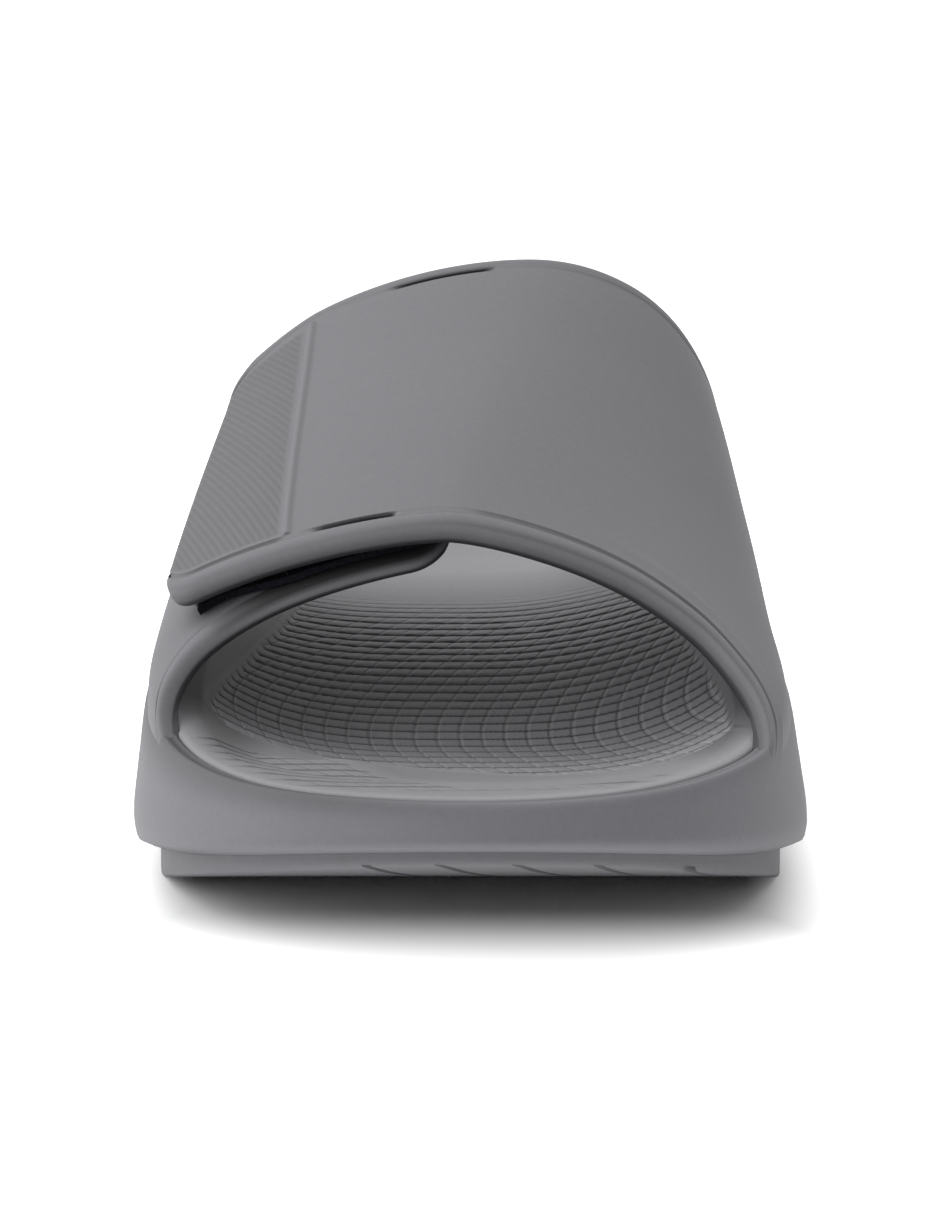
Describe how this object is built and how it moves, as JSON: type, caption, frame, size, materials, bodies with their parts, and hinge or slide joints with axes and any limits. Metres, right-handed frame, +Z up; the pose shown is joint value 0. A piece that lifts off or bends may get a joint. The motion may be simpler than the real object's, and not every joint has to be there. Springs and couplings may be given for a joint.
{
  "type": "sport slide sandal",
  "caption": "Right foot sport slide sandal with an adjustable two-part foam strap, contoured footbed and rockered tread sole.",
  "frame": {"origin": "centre of the bounding box on the floor plane under the sole", "axes": "+Z up, +Y from toe to heel, +X toward the medial side of this right shoe"},
  "size_m": [0.1158, 0.29, 0.095],
  "materials": {
    "outsole_rubber": "matte slate grey foam rubber with tread grooves",
    "body_foam": "matte slate grey closed-cell foam, fine moulded grain",
    "footbed_foam": "matte slate grey closed-cell foam with moulded tiles",
    "closure_tape": "black hook and loop tape"
  },
  "bodies": {
    "root": {"outsole": "outsole_rubber", "midsole": "body_foam", "footbed": "footbed_foam", "strap_over": "body_foam", "strap_under": "body_foam", "hook_tape": "closure_tape", "loop_tape": "closure_tape"}
  },
  "joints": []
}
